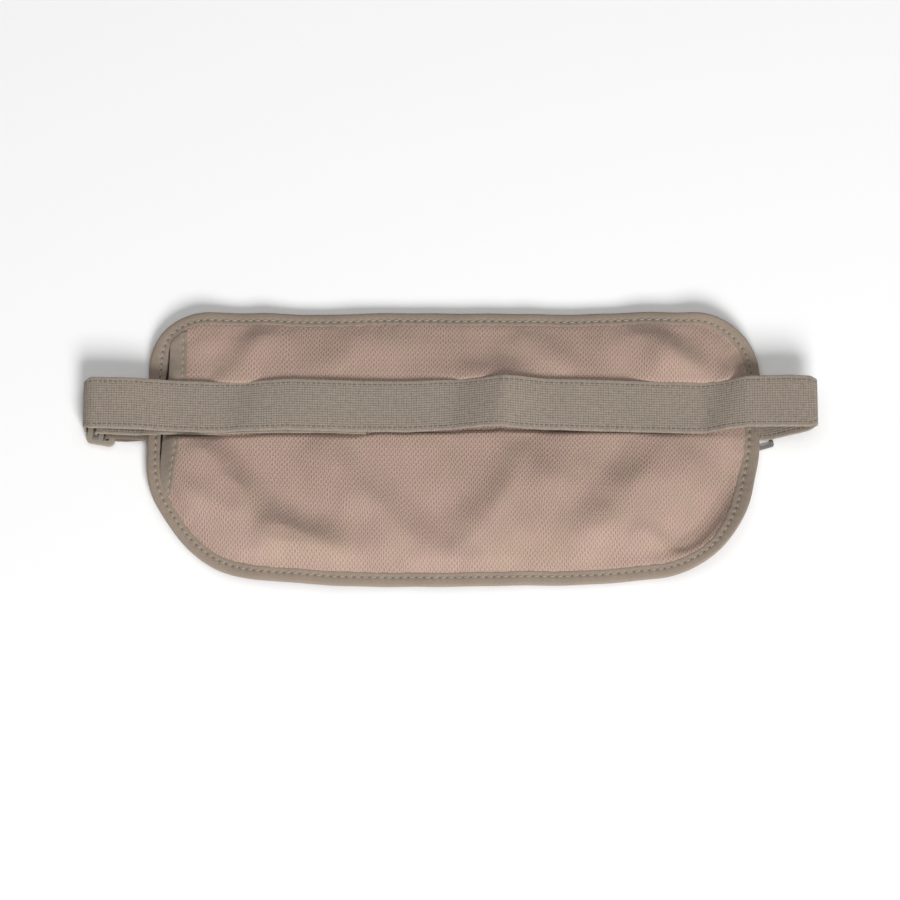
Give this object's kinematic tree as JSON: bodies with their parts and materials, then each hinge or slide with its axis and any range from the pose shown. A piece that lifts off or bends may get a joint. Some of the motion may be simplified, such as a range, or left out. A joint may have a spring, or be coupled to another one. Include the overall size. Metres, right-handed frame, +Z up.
{
  "type": "money belt",
  "caption": "Flat fabric waist pouch with a mesh back, bound edge, zipped front pockets and an elastic belt folded across it.",
  "frame": {"origin": "on the ground under the middle of the whole piece, as it lies on its zipped front", "axes": "+X along the pouch's width and the belt, +Y to the pouch's upper edge as worn, +Z up out of the mesh back"},
  "size_m": [0.3464, 0.1332, 0.0166],
  "materials": {
    "mesh": "knitted mesh",
    "binding": "ribbed tape",
    "webbing": "elastic webbing",
    "pack_cloth": "plain weave",
    "lining": "plain weave",
    "thread": "sewing thread",
    "zip_tape": "woven tape",
    "zip_coil": "satin",
    "zip_metal": "satin",
    "pull_metal": "satin",
    "adjuster": "satin"
  },
  "bodies": {
    "pouch": {"front_top_panel": "pack_cloth", "front_middle_panel": "pack_cloth", "front_bottom_panel": "pack_cloth", "pocket_divider": "lining", "back_lining": "lining", "back_mesh_panel": "mesh", "opening_hem": "binding", "hem_thread": "thread", "edge_binding": "binding", "binding_thread": "thread", "belt_strap": "webbing", "belt_tab": "webbing", "seam_tacks": "thread", "tab_tack": "thread", "main_zip_tape_upper": "zip_tape", "main_zip_tape_lower": "zip_tape", "main_zip_coil_upper": "zip_coil", "main_zip_coil_lower": "zip_coil", "main_zip_stops": "zip_metal", "upper_zip_tape_upper": "zip_tape", "upper_zip_tape_lower": "zip_tape", "upper_zip_coil_upper": "zip_coil", "upper_zip_coil_lower": "zip_coil", "upper_zip_stops": "zip_metal"},
    "main_slider": {"main_zip_slider": "zip_metal"},
    "main_pull": {"main_zip_pull": "pull_metal"},
    "upper_slider": {"upper_zip_slider": "zip_metal"},
    "upper_pull": {"upper_zip_pull": "pull_metal"},
    "adjuster": {"strap_adjuster": "adjuster"}
  },
  "joints": [
    {"name": "main_slider_run", "type": "slide", "parent": "pouch", "child": "main_slider", "axis": [1, 0, 0], "range_m": [-0.242, 0]},
    {"name": "main_pull_flip", "type": "hinge", "parent": "main_slider", "child": "main_pull", "pos_m": [0.1253, -0.00242, 0.00125], "axis": [-0.2756, 0.9613, 0], "range_deg": [0, 175]},
    {"name": "upper_slider_run", "type": "slide", "parent": "pouch", "child": "upper_slider", "axis": [1, 0, 0], "range_m": [-0.208, 0]},
    {"name": "upper_pull_flip", "type": "hinge", "parent": "upper_slider", "child": "upper_pull", "pos_m": [0.105, 0.04208, 0.00125], "axis": [0, 1, 0], "range_deg": [0, 175]},
    {"name": "adjuster_tilt", "type": "hinge", "parent": "pouch", "child": "adjuster", "pos_m": [-0.15758, 0.01736, 0.0029], "axis": [0.1736, 0.9848, 0], "range_deg": [0, 10]}
  ]
}
